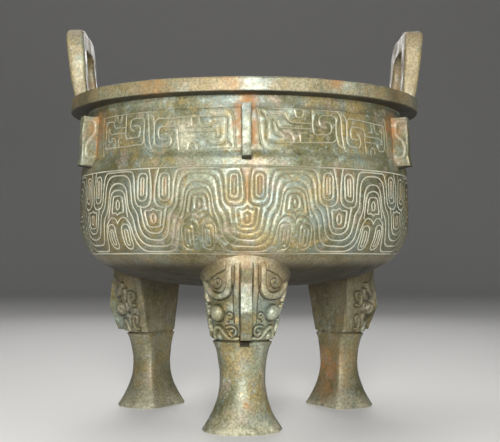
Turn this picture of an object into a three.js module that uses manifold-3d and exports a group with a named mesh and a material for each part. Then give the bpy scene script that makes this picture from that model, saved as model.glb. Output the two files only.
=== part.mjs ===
// A bronze ding: a round, open-mouthed ritual cauldron on three hoofed legs, cast in one piece.
// Millimetres, +Z up. The origin is on the vessel's axis, on the plane that its feet stand on.
// The front leg points to -Y, and the two ears stand on the rim at +X and -X.
import * as THREE from "three";
import { mergeVertices } from "three/addons/utils/BufferGeometryUtils.js";
import Module from "manifold-3d";

const wasm = await Module();
wasm.setup();

// Bowl
const BELLY_RADIUS = 99.3;
const BELLY_HEIGHT = 121; // where the belly is widest
const BELLY_BULGE = 0.0014; // how fast the upper belly draws in, per mm of height squared
const BOTTOM_HEIGHT = 76; // lowest point of the bowl, on the axis
const BOWL_DROP_POWER = 3.15; // the lower bowl is a superellipse: exponent of its heights
const BOWL_WIDTH_POWER = 2.4; // and of its radii
const NECK_FOOT = 149.4;
const NECK_FOOT_RADIUS = 95.9;
const NECK_TOP_RADIUS = 94; // under the rim
const SHOULDER_HEIGHT = 146.6;
const SHOULDER_RADIUS = 98.1;
const FOLD_DROP = 1.5; // the fold between belly and neck lies this much lower inside, so that the wall stays even
const RIM_RADIUS = 104.8;
const RIM_UNDERSIDE = 179.5;
const RIM_TOP = 187.5;
const RIM_EDGE = 0.7; // chamfer of the rim's upper edge
const WALL = 4.2;
const BOWL_SEGMENTS = 48;
const INSIDE_SEGMENTS = 36;
const BOWL_STEPS = 6; // facets of the lower bowl's profile, from its lowest to its widest place

// Wave frieze of the belly
const WAVE_FOOT = 95.3;
const WAVE_TOP = 142;
const WAVE_COUNT = 12;
const WAVE_COLUMNS = 8; // facets across one wave
const WAVE_PITCH = 3.1; // from one strand of the wave to the next
const WAVE_STRANDS = 3;
const WAVE_STEEPNESS = 2.4; // how much taller a strand is on the wave's sides than on its crests
const WAVE_MARGIN = 1; // from the crests and troughs to the frieze's borders
const WAVE_SQUARENESS = 0.28; // share of the third harmonic, which flattens crests and troughs
const GROOVE_DEPTH = 0.9;
const FRIEZE_BED = 2; // the frieze is let this deep into the bowl
const FRIEZE_LIP = 0.4; // height of the step down into that bed

// Scroll frieze of the neck
const SCROLL_FOOT = 149.4;
const SCROLL_TOP = 172.6;
const SCROLL_WIDTH = 3;
const SCROLL_RISE = 0.8;
const SCROLL_SINK = 1.5;

// Flanges of the neck
const FLANGE_AZIMUTHS = [0, 64, 122, 180, 238, 296]; // degrees: the panels beside the front one are wider
const FLANGE_THICKNESS = 5.2;
const FLANGE_FOOT = 145.8;
const FLANGE_TOP = 173.8;
const FLANGE_REACH = 103.5; // radius of the flange's outer edge, at its top
const FLANGE_SWELL = 0.8; // how far its middle stands out past that
const FLANGE_SPUR = 2.3; // how far its foot sweeps out past the top

// Ears
const EAR_WIDTH = 58;
const EAR_TOP = 230;
const EAR_CORNER = 17;
const EAR_HOLE_WIDTH = 34;
const EAR_HOLE_TOP = 218;
const EAR_HOLE_CORNER = 10;
const EAR_INNER_FOOT = 92.3; // distance of the ear's inner face from the axis, at the rim
const EAR_INNER_TOP = 95.6;
const EAR_OUTER_FOOT = 100.4;
const EAR_OUTER_TOP = 106.8;
const EAR_ROOT = 2; // the ear runs this far into the rim

// Legs
const LEG_COUNT = 3;
const LEG_CIRCLE = 68.4; // radius of the circle that the legs stand on
const LEG_SEGMENTS = 16;
const LEG_WAIST_RADIUS = 12.35;
const LEG_WAIST_HEIGHT = 28;
const HOOF_FLARE = 10; // how far the hoof spreads past the waist
const CALF_FLARE = 3.4; // how far the leg spreads above its waist
const CALF_LENGTH = 20; // over this height
const BACK_DEPTH = 7; // from the leg's axis to its flat back
const BACK_FLARE = 7.3; // how far the back spreads with the hoof
const MASK_FOOT = 48.6;
const MASK_FOOT_RADIUS = 16.4;
const MASK_TOP = 84;
const MASK_TOP_RADIUS = 23.2;
const MASK_POWER = 0.8; // below 1, so that the mask swells most near its foot
const LEG_SHOULDER = 14; // height of the round shoulder that carries the leg into the bowl
const SHOULDER_SQUARENESS = 0.55; // 1 for an ellipse, less for a squarer shoulder

// Animal mask of each leg
const NOSE_THICKNESS = 6;
const NOSE_FOOT = 49.6;
const NOSE_FOOT_REACH = 92.4; // distance of the nose ridge's edge from the vessel's axis, at its foot
const NOSE_PEAK = 65;
const NOSE_PEAK_REACH = 99.4;
const NOSE_BROW = 80;
const NOSE_BROW_REACH = 97.6;
const NOSE_TOP = 88;
const NOSE_TOP_REACH = 94.4;
const EYE_RADIUS = 4;
const EYE_ANGLE = 45; // degrees to each side of the nose ridge, about the leg's axis
const EYE_HEIGHT = 64.8;
const EYE_SINK = 1.2;
const MASK_LINE_WIDTH = 3.2;
const MASK_LINE_RISE = 1.2;
const MASK_LINE_SINK = 1.6;

const BRONZE = new THREE.MeshStandardMaterial({ color: 0x7f7a5c, roughness: 0.6, metalness: 0.55 });

const turn = (degrees) => THREE.MathUtils.degToRad(degrees);

// A place on the vessel: the azimuth starts at the front, -Y, and runs towards +X.
const place = (azimuth, radius, height) =>
  new THREE.Vector3(radius * Math.sin(azimuth), -radius * Math.cos(azimuth), height);

// Solids and meshes

function solidOf(geometry) {
  const bare = new THREE.BufferGeometry();
  bare.setAttribute("position", geometry.getAttribute("position"));
  bare.setIndex(geometry.getIndex());
  const merged = mergeVertices(bare, 1e-4);
  const vertProperties = new Float32Array(merged.getAttribute("position").array);
  const triVerts = new Uint32Array(merged.getIndex().array);
  const solid = new wasm.Manifold(new wasm.Mesh({ numProp: 3, vertProperties, triVerts }));
  if (solid.volume() > 0) return solid;
  triVerts.reverse();
  return new wasm.Manifold(new wasm.Mesh({ numProp: 3, vertProperties, triVerts }));
}

function geometryOf(solid) {
  const { vertProperties, triVerts } = solid.getMesh();
  const geometry = new THREE.BufferGeometry();
  geometry.setAttribute("position", new THREE.BufferAttribute(new Float32Array(vertProperties), 3));
  geometry.setIndex(new THREE.BufferAttribute(new Uint32Array(triVerts), 1));
  return geometry;
}

const joined = (solids) => solids.reduce((whole, piece) => whole.add(piece));

// A profile of [radius, height] pairs turned about the vessel's axis.
function turned(profile, segments) {
  const points = profile.map(([radius, height]) => new THREE.Vector2(radius, height));
  return new THREE.LatheGeometry(points, segments).rotateX(Math.PI / 2);
}

// A flat plate: a [radius, height] outline in the plane of an azimuth, as thick as given.
function fin(outline, thickness, azimuth) {
  const shape = new THREE.Shape(outline.map(([radius, height]) => new THREE.Vector2(radius, height)));
  const plate = new THREE.ExtrudeGeometry(shape, { depth: thickness, bevelEnabled: false });
  plate.translate(0, 0, -thickness / 2).rotateX(Math.PI / 2);
  return plate.rotateZ(azimuth - Math.PI / 2);
}

// A raised line: the path's [across, height] points are laid on a surface by onto(across, height, lift).
function ribbon(path, onto, width, rise, sink) {
  const points = path.map(([across, height]) => new THREE.Vector2(across, height));
  const sections = points.map((point, i) => {
    const before = points[Math.max(i - 1, 0)];
    const after = points[Math.min(i + 1, points.length - 1)];
    const into = point.clone().sub(before).normalize();
    const out = after.clone().sub(point).normalize();
    if (into.lengthSq() === 0) into.copy(out);
    if (out.lengthSq() === 0) out.copy(into);
    const along = into.clone().add(out).normalize();
    const mitre = 1 / along.dot(out);
    const side = new THREE.Vector2(-along.y, along.x).multiplyScalar((mitre * width) / 2);
    const left = point.clone().add(side);
    const right = point.clone().sub(side);
    return [
      onto(left.x, left.y, rise),
      onto(right.x, right.y, rise),
      onto(right.x, right.y, -sink),
      onto(left.x, left.y, -sink),
    ];
  });
  const positions = sections.flat().flatMap((corner) => corner.toArray());
  const index = [0, 1, 2, 0, 2, 3];
  for (let i = 0; i + 1 < sections.length; i++)
    for (let k = 0; k < 4; k++) {
      const [a, b] = [4 * i + k, 4 * i + ((k + 1) % 4)];
      index.push(a, a + 4, b + 4, a, b + 4, b);
    }
  const end = 4 * (sections.length - 1);
  index.push(end, end + 2, end + 1, end, end + 3, end + 2);
  const geometry = new THREE.BufferGeometry();
  geometry.setAttribute("position", new THREE.Float32BufferAttribute(positions, 3));
  return geometry.setIndex(index);
}

// Bowl

// The lower bowl as a superellipse, from its lowest point up to the widest place, drawn in by inset.
function lowerBowl(inset) {
  const points = [];
  for (let k = 0; k <= BOWL_STEPS; k++) {
    const angle = (Math.PI / 2) * (k / BOWL_STEPS);
    const radius = (BELLY_RADIUS - inset) * Math.sin(angle) ** (2 / BOWL_WIDTH_POWER);
    const drop = (BELLY_HEIGHT - BOTTOM_HEIGHT - inset) * Math.cos(angle) ** (2 / BOWL_DROP_POWER);
    points.push([k === 0 ? 0 : radius, BELLY_HEIGHT - drop]);
  }
  return points;
}

function bellyRadius(height) {
  if (height > BELLY_HEIGHT) return BELLY_RADIUS - BELLY_BULGE * (height - BELLY_HEIGHT) ** 2;
  const drop = (BELLY_HEIGHT - height) / (BELLY_HEIGHT - BOTTOM_HEIGHT);
  return BELLY_RADIUS * (1 - drop ** BOWL_DROP_POWER) ** (1 / BOWL_WIDTH_POWER);
}

function neckRadius(height) {
  return THREE.MathUtils.mapLinear(height, NECK_FOOT, RIM_UNDERSIDE, NECK_FOOT_RADIUS, NECK_TOP_RADIUS);
}

function bowlBlank() {
  const bed = (height) => [bellyRadius(height) - FRIEZE_BED, height];
  return turned(
    [
      ...lowerBowl(0).filter(([, height]) => height < WAVE_FOOT - FRIEZE_LIP),
      [bellyRadius(WAVE_FOOT - FRIEZE_LIP), WAVE_FOOT - FRIEZE_LIP],
      bed(WAVE_FOOT),
      bed(BELLY_HEIGHT),
      bed(WAVE_TOP),
      [bellyRadius(WAVE_TOP + FRIEZE_LIP), WAVE_TOP + FRIEZE_LIP],
      [SHOULDER_RADIUS, SHOULDER_HEIGHT],
      [NECK_FOOT_RADIUS, NECK_FOOT],
      [NECK_TOP_RADIUS, RIM_UNDERSIDE],
      [RIM_RADIUS, RIM_UNDERSIDE],
      [RIM_RADIUS, RIM_TOP - RIM_EDGE],
      [RIM_RADIUS - RIM_EDGE, RIM_TOP],
      [0, RIM_TOP],
    ],
    BOWL_SEGMENTS,
  );
}

function bowlInside() {
  const above = RIM_TOP + 1;
  return turned(
    [
      ...lowerBowl(WALL),
      [SHOULDER_RADIUS - WALL, SHOULDER_HEIGHT - FOLD_DROP],
      [NECK_FOOT_RADIUS - WALL, NECK_FOOT - FOLD_DROP],
      [NECK_TOP_RADIUS - WALL, above],
      [0, above],
    ],
    INSIDE_SEGMENTS,
  );
}

// Wave frieze: a ring whose rows of vertices run along the strands of one broad wave.

// Height of the wave's middle strand, from -1 in a trough to 1 on a crest, with steep sides.
function waveAt(azimuth) {
  const phase = WAVE_COUNT * azimuth;
  const swell = -(1 + WAVE_SQUARENESS) * Math.cos(phase) + WAVE_SQUARENESS * Math.cos(3 * phase);
  return THREE.MathUtils.clamp(swell, -1, 1);
}

function waveFrieze() {
  const middle = (WAVE_FOOT + WAVE_TOP) / 2;
  const half = (WAVE_TOP - WAVE_FOOT) / 2;
  const halfRibbon = (WAVE_STRANDS / 2) * WAVE_PITCH;
  const swing = half - halfRibbon - WAVE_MARGIN;
  const columns = WAVE_COUNT * WAVE_COLUMNS;
  const columnAngle = (2 * Math.PI) / columns;
  // The strands keep their width on the wave's steep sides, so they are taller there.
  const stretch = (azimuth) => THREE.MathUtils.lerp(WAVE_STEEPNESS, 1, waveAt(azimuth) ** 2);
  // Share of the way from the wave to the border, and the raised tongue or pair of lobes that stands there.
  const fillings = [
    { share: 0.35, raised: (side) => side === 0 },
    { share: 0.75, raised: (side) => Math.abs(side) === 1 },
  ];
  // How many columns an azimuth lies from the nearest trough, or crest.
  const columnsFrom = (azimuth, start) => {
    const steps = Math.round(azimuth / columnAngle - start);
    return ((steps % WAVE_COLUMNS) + 1.5 * WAVE_COLUMNS) % WAVE_COLUMNS - WAVE_COLUMNS / 2;
  };
  const rows = [];
  const filled = (share, raised, up) => (azimuth) => {
    const ribbonEdge = middle + swing * waveAt(azimuth) + up * halfRibbon * stretch(azimuth);
    const side = columnsFrom(azimuth, up > 0 ? 0 : WAVE_COLUMNS / 2);
    return {
      height: THREE.MathUtils.lerp(ribbonEdge, middle + up * half, share),
      depth: raised(side) ? 0 : GROOVE_DEPTH,
    };
  };
  const border = (up, past, depth) => () => ({ height: middle + up * (half + past), depth });
  rows.push(border(-1, 2 * FRIEZE_LIP, FRIEZE_BED), border(-1, 0, GROOVE_DEPTH));
  for (const { share, raised } of [...fillings].reverse()) rows.push(filled(share, raised, -1));
  for (let k = -WAVE_STRANDS; k <= WAVE_STRANDS; k++) {
    const isGroove = (k + WAVE_STRANDS) % 2 === 0;
    rows.push((azimuth) => ({
      height: middle + swing * waveAt(azimuth) + (k / 2) * WAVE_PITCH * stretch(azimuth),
      depth: isGroove ? GROOVE_DEPTH : 0,
    }));
  }
  for (const { share, raised } of fillings) rows.push(filled(share, raised, 1));
  rows.push(border(1, 0, GROOVE_DEPTH), border(1, 2 * FRIEZE_LIP, FRIEZE_BED));
  const inside = [middle + half, middle - half].map((height) => () => ({ height, depth: 2 * FRIEZE_BED }));
  const ring = [...rows, ...inside, rows[0]];
  const frieze = turned(ring.map((row, j) => [BELLY_RADIUS, j]), columns);
  const position = frieze.getAttribute("position");
  for (let i = 0; i <= columns; i++)
    ring.forEach((row, j) => {
      const azimuth = columnAngle * (i % columns);
      const { height, depth } = row(azimuth);
      const spot = place(azimuth, bellyRadius(height) - depth, height);
      position.setXYZ(i * ring.length + j, spot.x, spot.y, spot.z);
    });
  return frieze;
}

// Scroll frieze: in each panel between two flanges, one hooked scroll and the same scroll turned upside down.
function scrolls() {
  const panel = turn(FLANGE_AZIMUTHS[1]) * NECK_TOP_RADIUS; // the front panels; the others are drawn closer
  const tall = SCROLL_TOP - SCROLL_FOOT;
  const [outer, inner] = [10.5, 44]; // the scroll's first and last upright, from the flange's middle
  const body = [
    [24, 18.6], [outer, 18.6], [outer, 4], [27, 4], [inner, 4], [inner, 18.6], [32, 18.6], [32, 9.6], [39, 9.6],
  ];
  const upsideDown = (path) => path.map(([across, up]) => [panel - across, tall - up]);
  const made = [];
  for (const [k, degrees] of FLANGE_AZIMUTHS.entries()) {
    const start = turn(degrees);
    const end = turn(FLANGE_AZIMUTHS[k + 1] ?? 360);
    const onto = (across, up, lift) => {
      const height = SCROLL_FOOT + up;
      return place(THREE.MathUtils.lerp(start, end, across / panel), neckRadius(height) + lift, height);
    };
    for (const path of [body, upsideDown(body)])
      made.push(ribbon(path, onto, SCROLL_WIDTH, SCROLL_RISE, SCROLL_SINK));
  }
  return made;
}

function flanges() {
  const root = NECK_TOP_RADIUS - WALL / 2;
  const height = (t) => THREE.MathUtils.lerp(FLANGE_FOOT, FLANGE_TOP, t);
  const outline = [
    [root, height(0)],
    [FLANGE_REACH + FLANGE_SPUR, height(0)],
    [FLANGE_REACH + FLANGE_SWELL, height(0.25)],
    [FLANGE_REACH + FLANGE_SWELL, height(0.55)],
    [FLANGE_REACH, height(1)],
    [root, height(1)],
  ];
  return FLANGE_AZIMUTHS.map((degrees) => fin(outline, FLANGE_THICKNESS, turn(degrees)));
}

// Ears

// An upright arch of the given width, with round upper corners.
function arch(path, width, foot, top, corner) {
  path.moveTo(-width / 2, foot);
  path.lineTo(width / 2, foot);
  path.lineTo(width / 2, top - corner);
  path.absarc(width / 2 - corner, top - corner, corner, 0, Math.PI / 2);
  path.absarc(corner - width / 2, top - corner, corner, Math.PI / 2, Math.PI);
  path.lineTo(-width / 2, foot);
  return path;
}

function ear(azimuth) {
  const shape = arch(new THREE.Shape(), EAR_WIDTH, RIM_TOP - EAR_ROOT, EAR_TOP, EAR_CORNER);
  shape.holes.push(arch(new THREE.Path(), EAR_HOLE_WIDTH, RIM_TOP, EAR_HOLE_TOP, EAR_HOLE_CORNER));
  const plate = new THREE.ExtrudeGeometry(shape, { depth: 1, bevelEnabled: false, curveSegments: 4 });
  const position = plate.getAttribute("position");
  for (let i = 0; i < position.count; i++) {
    const [across, height, through] = [position.getX(i), position.getY(i), position.getZ(i)];
    const up = (height - RIM_TOP) / (EAR_TOP - RIM_TOP);
    const innerFace = THREE.MathUtils.lerp(EAR_INNER_FOOT, EAR_INNER_TOP, up);
    const outerFace = THREE.MathUtils.lerp(EAR_OUTER_FOOT, EAR_OUTER_TOP, up);
    position.setXYZ(i, across, -THREE.MathUtils.lerp(innerFace, outerFace, through), height);
  }
  return plate.rotateZ(azimuth);
}

// Legs

function legRadius(height) {
  if (height < LEG_WAIST_HEIGHT)
    return LEG_WAIST_RADIUS + HOOF_FLARE * (1 - height / LEG_WAIST_HEIGHT) ** 2;
  if (height < MASK_FOOT)
    return LEG_WAIST_RADIUS + CALF_FLARE * ((height - LEG_WAIST_HEIGHT) / CALF_LENGTH) ** 2;
  const up = THREE.MathUtils.clamp((height - MASK_FOOT) / (MASK_TOP - MASK_FOOT), 0, 1);
  return THREE.MathUtils.lerp(MASK_FOOT_RADIUS, MASK_TOP_RADIUS, up ** MASK_POWER);
}

function legColumn() {
  const heights = [0, 4, 10, 17, LEG_WAIST_HEIGHT, 38, MASK_FOOT - 0.01];
  const maskHeights = [MASK_FOOT, 56, 69, MASK_TOP];
  const shoulder = [45, 65, 90].map((degrees) => [
    degrees === 90 ? 0 : MASK_TOP_RADIUS * Math.cos(turn(degrees)) ** SHOULDER_SQUARENESS,
    MASK_TOP + LEG_SHOULDER * Math.sin(turn(degrees)) ** SHOULDER_SQUARENESS,
  ]);
  const profile = [...heights, ...maskHeights].map((height) => [legRadius(height), height]);
  const column = turned([[0, 0], ...profile, ...shoulder], LEG_SEGMENTS);
  return solidOf(column.translate(0, -LEG_CIRCLE, 0)).subtract(legBack());
}

// What is cut away to leave the leg's flat back, which spreads with the hoof.
function legBack() {
  const heights = [-1, 0, 4, 9, 15, LEG_WAIST_HEIGHT, MASK_TOP + 2 * LEG_SHOULDER];
  const spread = (height) => (1 - THREE.MathUtils.clamp(height, 0, LEG_WAIST_HEIGHT) / LEG_WAIST_HEIGHT) ** 2;
  const face = heights.map((height) => [LEG_CIRCLE - BACK_DEPTH - BACK_FLARE * spread(height), height]);
  const outline = [[0, heights[0]], ...face, [0, heights.at(-1)]];
  return solidOf(fin(outline, 4 * MASK_TOP_RADIUS, 0));
}

// The nose ridge of the mask, which runs out to a peak and is cut off flat below.
function nose() {
  const root = LEG_CIRCLE + LEG_WAIST_RADIUS / 2;
  const outline = [
    [root, NOSE_FOOT],
    [NOSE_FOOT_REACH, NOSE_FOOT],
    [NOSE_PEAK_REACH, NOSE_PEAK],
    [NOSE_BROW_REACH, NOSE_BROW],
    [NOSE_TOP_REACH, NOSE_TOP],
    [root, NOSE_TOP],
  ];
  return fin(outline, NOSE_THICKNESS, 0);
}

function maskLines() {
  const onto = (across, height, lift) => {
    const spot = place(across / MASK_TOP_RADIUS, legRadius(height) + lift, height);
    return spot.setY(spot.y - LEG_CIRCLE);
  };
  const horn = [[8.8, 87], [8.8, 76], [14.5, 72.4], [20.8, 77], [17, 82]];
  const jaw = [[12, 49.4], [15, 56.2], [21, 56.2], [24, 49.4]];
  const mirrored = (path) => path.map(([across, height]) => [-across, height]);
  return [horn, jaw]
    .flatMap((path) => [path, mirrored(path)])
    .map((path) => ribbon(path, onto, MASK_LINE_WIDTH, MASK_LINE_RISE, MASK_LINE_SINK));
}

function eyes() {
  return [-1, 1].map((side) => {
    const spot = place(side * turn(EYE_ANGLE), legRadius(EYE_HEIGHT) - EYE_SINK, EYE_HEIGHT);
    return new THREE.SphereGeometry(EYE_RADIUS, 8, 5).translate(spot.x, spot.y - LEG_CIRCLE, spot.z);
  });
}

function leg() {
  return joined([legColumn(), ...[nose(), ...maskLines(), ...eyes()].map(solidOf)]);
}

// The whole casting

function casting() {
  const oneLeg = geometryOf(leg());
  const legs = Array.from({ length: LEG_COUNT }, (_, k) =>
    solidOf(oneLeg.clone().rotateZ((2 * Math.PI * k) / LEG_COUNT)),
  );
  const ears = [turn(90), turn(-90)].map(ear);
  const outside = [bowlBlank(), waveFrieze(), ...scrolls(), ...flanges(), ...ears].map(solidOf);
  return joined([...outside, ...legs]).subtract(solidOf(bowlInside()));
}

const ding = new THREE.Group();
const vessel = new THREE.Mesh(geometryOf(casting()), BRONZE);
vessel.name = "ding_casting";
ding.add(vessel);

export default ding;
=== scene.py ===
"""The finished surface of the bronze ding: cast relief, patina, and a plain studio around it.

Sizes are millimetres, as in the part's source, until a mesh is made. An azimuth starts at the vessel's
front, -Y, and runs towards +X. Every piece is a region of one casting, so they all wear one bronze.
"""
import math

import bpy
import numpy as np
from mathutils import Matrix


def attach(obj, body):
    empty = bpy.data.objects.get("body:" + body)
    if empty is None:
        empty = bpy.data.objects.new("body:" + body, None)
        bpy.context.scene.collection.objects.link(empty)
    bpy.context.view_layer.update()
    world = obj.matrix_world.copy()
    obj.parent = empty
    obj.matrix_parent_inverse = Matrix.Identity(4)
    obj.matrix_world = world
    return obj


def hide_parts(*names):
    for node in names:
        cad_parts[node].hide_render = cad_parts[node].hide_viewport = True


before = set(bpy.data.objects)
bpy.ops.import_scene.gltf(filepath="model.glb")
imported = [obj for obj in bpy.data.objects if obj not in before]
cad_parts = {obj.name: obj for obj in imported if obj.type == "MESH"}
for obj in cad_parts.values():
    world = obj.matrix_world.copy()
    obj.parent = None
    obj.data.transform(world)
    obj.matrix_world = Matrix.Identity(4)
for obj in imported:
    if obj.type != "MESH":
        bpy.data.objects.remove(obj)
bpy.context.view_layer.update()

MM = 0.001
TURN = 2 * math.pi

# Bowl
BELLY_RADIUS = 99.3
BELLY_HEIGHT = 121
BELLY_BULGE = 0.0014  # how fast the belly draws in above its widest place
BOTTOM_HEIGHT = 76
BOWL_DROP_POWER = 3.15
BOWL_WIDTH_POWER = 2.4
NECK_FOOT = 149.4
NECK_FOOT_RADIUS = 95.9
NECK_TOP_RADIUS = 94
SHOULDER_HEIGHT = 146.6
SHOULDER_RADIUS = 98.1
FOLD_DROP = 1.5  # the fold between belly and neck lies this much lower inside
RIM_RADIUS = 104.8
RIM_UNDERSIDE = 179.5
RIM_TOP = 187.5
RIM_ROUND = 1.3
SHOULDER_ROUND = 1.6
WALL = 4.2
BOWL_COLUMNS = 280
BOWL_ROW = 1.6  # longest step between two rows of the bowl's profile
BOWL_SEED = 1
HIGHLIGHT_REACH = 17  # the bowl carries a painted highlight this far round the top of each leg
RUST_REACH = 3.2  # how far rust has run from a flange's root, along the neck

# Friezes
FRIEZE_COLUMNS = 2000
FRIEZE_ROW = 0.31
FRIEZE_BED = 2  # how deep the bowl is let in behind a frieze
FRIEZE_LIP = 0.6  # the bowl keeps its full width this far behind a frieze's borders
FRIEZE_CREASE = 60  # degrees between two faces that make an edge sharp
FINE_WOBBLE = 0.18  # how far a line drawn by hand strays, over a short stretch
WIDE_WOBBLE = 0.5  # and over a long one
WAVE_FOOT = 95.3
WAVE_TOP = 142
WAVE_COUNT = 12
WAVE_HALF = math.pi * BELLY_RADIUS / WAVE_COUNT  # from a trough to the next crest, along the belly
WAVE_FACES = 196000
WAVE_SEED = 100
WAVE_WEAR_SEED = 6
SCROLL_FACES = 150000
SCROLL_SEED = 110
SCROLL_WEAR_SEED = 9
SCROLL_FOOT = 149.4
SCROLL_TOP = 172.6
SCROLL_MIDDLE = (SCROLL_FOOT + SCROLL_TOP) / 2 + 0.3
LINE_HALF_WIDTH = 0.6
LINE_DEPTH = 0.5
NECK_LINE_SHARE = 0.75  # depth of the neck's lines, as a share of the belly's
BAND_CROWN = 0.22  # how far the band between two lines rises past its edges
BAND_EDGE = 1.7  # the distance from a line over which it rises

# Flanges
FLANGE_AZIMUTHS = (0, 64, 122, 180, 238, 296)  # degrees
FLANGE_THICKNESS = 5.2
FLANGE_FOOT = 145.8
FLANGE_TOP = 173.8
FLANGE_REACH = 103.5  # radius of the outer edge, at its top
FLANGE_SWELL = 0.8
FLANGE_SPUR = 2.3
FLANGE_UNDERCUT = 1.3  # how much lower the foot is at its root
FLANGE_EDGE = 0.9
FLANGE_SEED = 20

# Ears
EAR_WIDTH = 58
EAR_TOP = 230
EAR_CORNER = 17
EAR_HOLE_WIDTH = 34
EAR_HOLE_TOP = 218
EAR_HOLE_CORNER = 10
EAR_INNER_FOOT = 92.3
EAR_INNER_TOP = 95.6
EAR_OUTER_FOOT = 100.4
EAR_OUTER_TOP = 106.8
EAR_ROOT = 3  # how deep an ear is let into the rim
EAR_EDGE = 2
EAR_STATIONS = 130
EAR_COLUMNS = 44
EAR_SEED = 40

# Legs
LEG_COUNT = 3
LEG_CIRCLE = 68.4
LEG_FRONT_COLUMNS = 380
LEG_BACK_COLUMNS = 40
LEG_FACES = 66000
LEG_CREASE = 50
LEG_SEED = 60
MASK_DROP = (0, 2.4, 2.4)  # how much lower each leg carries its mask than the front leg
LEG_LEAN = 1.9  # how far the column below the mask stands to one side of the nose ridge
LEAN_TOP = 86
LEAN_FOOT = 46
LEAN_RADIUS = 30  # the lean over this is the angle that the mask is turned back by
LEG_WAIST_RADIUS = 12.35
LEG_WAIST_HEIGHT = 28
HOOF_FLARE = 10
CALF_FLARE = 3.4
CALF_LENGTH = 20
BACK_DEPTH = 7
BACK_FLARE = 7.3
CALF_TOP = 48.2
CALF_LIP = 0.6  # how far the calf's upper edge turns out
MASK_FOOT = 49.6
MASK_FOOT_RADIUS = 16.1
MASK_TOP = 84
MASK_TOP_RADIUS = 23
MASK_POWER = 0.8
LEG_FILLET = 6
MASK_SHEET_RADIUS = 20  # the mask is drawn on a sheet that wraps a column of this radius
LEG_TOP = 98  # height that the legs are drawn up to
LEG_BEND = 70  # above this height they are bent, to end at the underside of the bowl
LEG_SINK = 1.2  # how deep their upper ends are let into it
CHIP_SHARE = 0.07  # a chip in a foot's edge takes off this share of the way to the leg's axis
NOSE_THICKNESS = 6
NOSE_FOOT = 50
NOSE_FOOT_REACH = 92.4
NOSE_PEAK = 65
NOSE_PEAK_REACH = 99.4
NOSE_BROW = 80
NOSE_BROW_REACH = 97.6
NOSE_TOP = 88
NOSE_TOP_REACH = 94.4
NOSE_EDGE = 0.7
NOSE_SEED = 80

# Animal mask: each boss is its middle across and up the sheet, half its width and half its height
EYE = (16.6, 64, 4.3, 4.3)
PUPIL = (19.2, 63.4, 1.2, 2)
JAW_BOSS = (18.2, 50.6, 2.2, 2.6)
STRIP_HALF = 6  # half the width of the plain strip that the nose ridge stands on
STRIP_FOOT = 57
STRIP_TOP = 90
CORNER_STRIP = 33.6  # where the strip along the leg's back corner begins
MASK_EDGE = 39.5

# Camera, in metres and degrees, for a picture of 500 x 442
CAMERA_PLACE = (-0.00724, -0.65836, 0.0923)
CAMERA_PITCH = 92.07
CAMERA_YAW = -0.928
CAMERA_LENS = 77.58
CAMERA_SENSOR = 36

# Studio, in metres, watts and degrees
FLOOR_NEAR = -3.0
FLOOR_END = 2.2  # where the floor begins to sweep up into a wall
FLOOR_BEND = 1.2
WALL_HEIGHT = 4.0
FLOOR_HALF = 4.0
FLOOR_COLOUR = (0.72, 0.71, 0.69, 1)
SKY_COLOUR = (0.9, 0.92, 0.95, 1)
SKY_STRENGTH = 0.075
LIGHTS = (  # name, place, aim, size, power, spread
    ("key", (-0.02, -0.95, 0.25), (0, 0, 0.12), 0.26, 14.6, 180),
    ("fill", (1.2, -0.5, 0.7), (0, 0, 0.12), 1.0, 0.8, 180),
    ("top", (-0.3, 0.4, 1.5), (0, 0, 0.1), 1.2, 8, 180),
    ("back", (0, 1.4, 0.6), (0, 0, 0.12), 0.7, 1.3, 55),
)


# Numbers

def smooth(low, high, value):
    """0 below low, 1 above high, and a soft step between."""
    t = np.clip((value - low) / (high - low), 0, 1)
    return t * t * (3 - 2 * t)


def mix(a, b, share):
    return a + (b - a) * share


def unevenness(points, wavelength, seed):
    """A soft random swell over space, about -1 to 1, that repeats at no visible distance."""
    random = np.random.default_rng(seed)
    total = np.zeros(points.shape[:-1])
    waves = 14
    for _ in range(waves):
        direction = random.normal(size=3)
        direction *= TURN / (wavelength * random.uniform(0.7, 1.6) * np.linalg.norm(direction))
        total += np.sin(points @ direction + random.uniform(0, TURN))
    return total / math.sqrt(waves)


# Paths and lines drawn on a sheet

ARC_STEPS = 7
SHEET_STEP = 0.15


def rounded(corners, radius, closed=False):
    """The corners joined by straight stretches, with each turn between them rounded off."""
    points = [np.array(corner, float) for corner in corners]
    last = len(points) - 1
    path = []
    for i, corner in enumerate(points):
        if not closed and i in (0, last):
            path.append(corner)
            continue
        before = points[i - 1] - corner
        after = points[(i + 1) % len(points)] - corner
        # A turn may use up half of a stretch, or all of one that ends free.
        reach_before = np.linalg.norm(before) * (0.98 if not closed and i == 1 else 0.49)
        reach_after = np.linalg.norm(after) * (0.98 if not closed and i == last - 1 else 0.49)
        cut = min(radius, reach_before, reach_after)
        start = corner + before / np.linalg.norm(before) * cut
        end = corner + after / np.linalg.norm(after) * cut
        for t in np.linspace(0, 1, ARC_STEPS):
            path.append((1 - t) ** 2 * start + 2 * t * (1 - t) * corner + t ** 2 * end)
    if closed:
        path.append(path[0])
    return np.array(path)


def stadium(middle, half_width, foot, top):
    """A closed upright loop with round ends."""
    left, right = middle - half_width, middle + half_width
    return rounded([(left, foot), (right, foot), (right, top), (left, top)], half_width, closed=True)


def distance(across, up, paths):
    """How far each place of a sheet is from the nearest path."""
    nearest = np.full(np.shape(across), np.inf)
    for path in paths:
        for (x0, y0), (x1, y1) in zip(path[:-1], path[1:]):
            dx, dy = x1 - x0, y1 - y0
            along = ((across - x0) * dx + (up - y0) * dy) / (dx * dx + dy * dy + 1e-12)
            along = np.clip(along, 0, 1)
            nearest = np.minimum(nearest, np.hypot(across - x0 - along * dx, up - y0 - along * dy))
    return nearest


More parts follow.
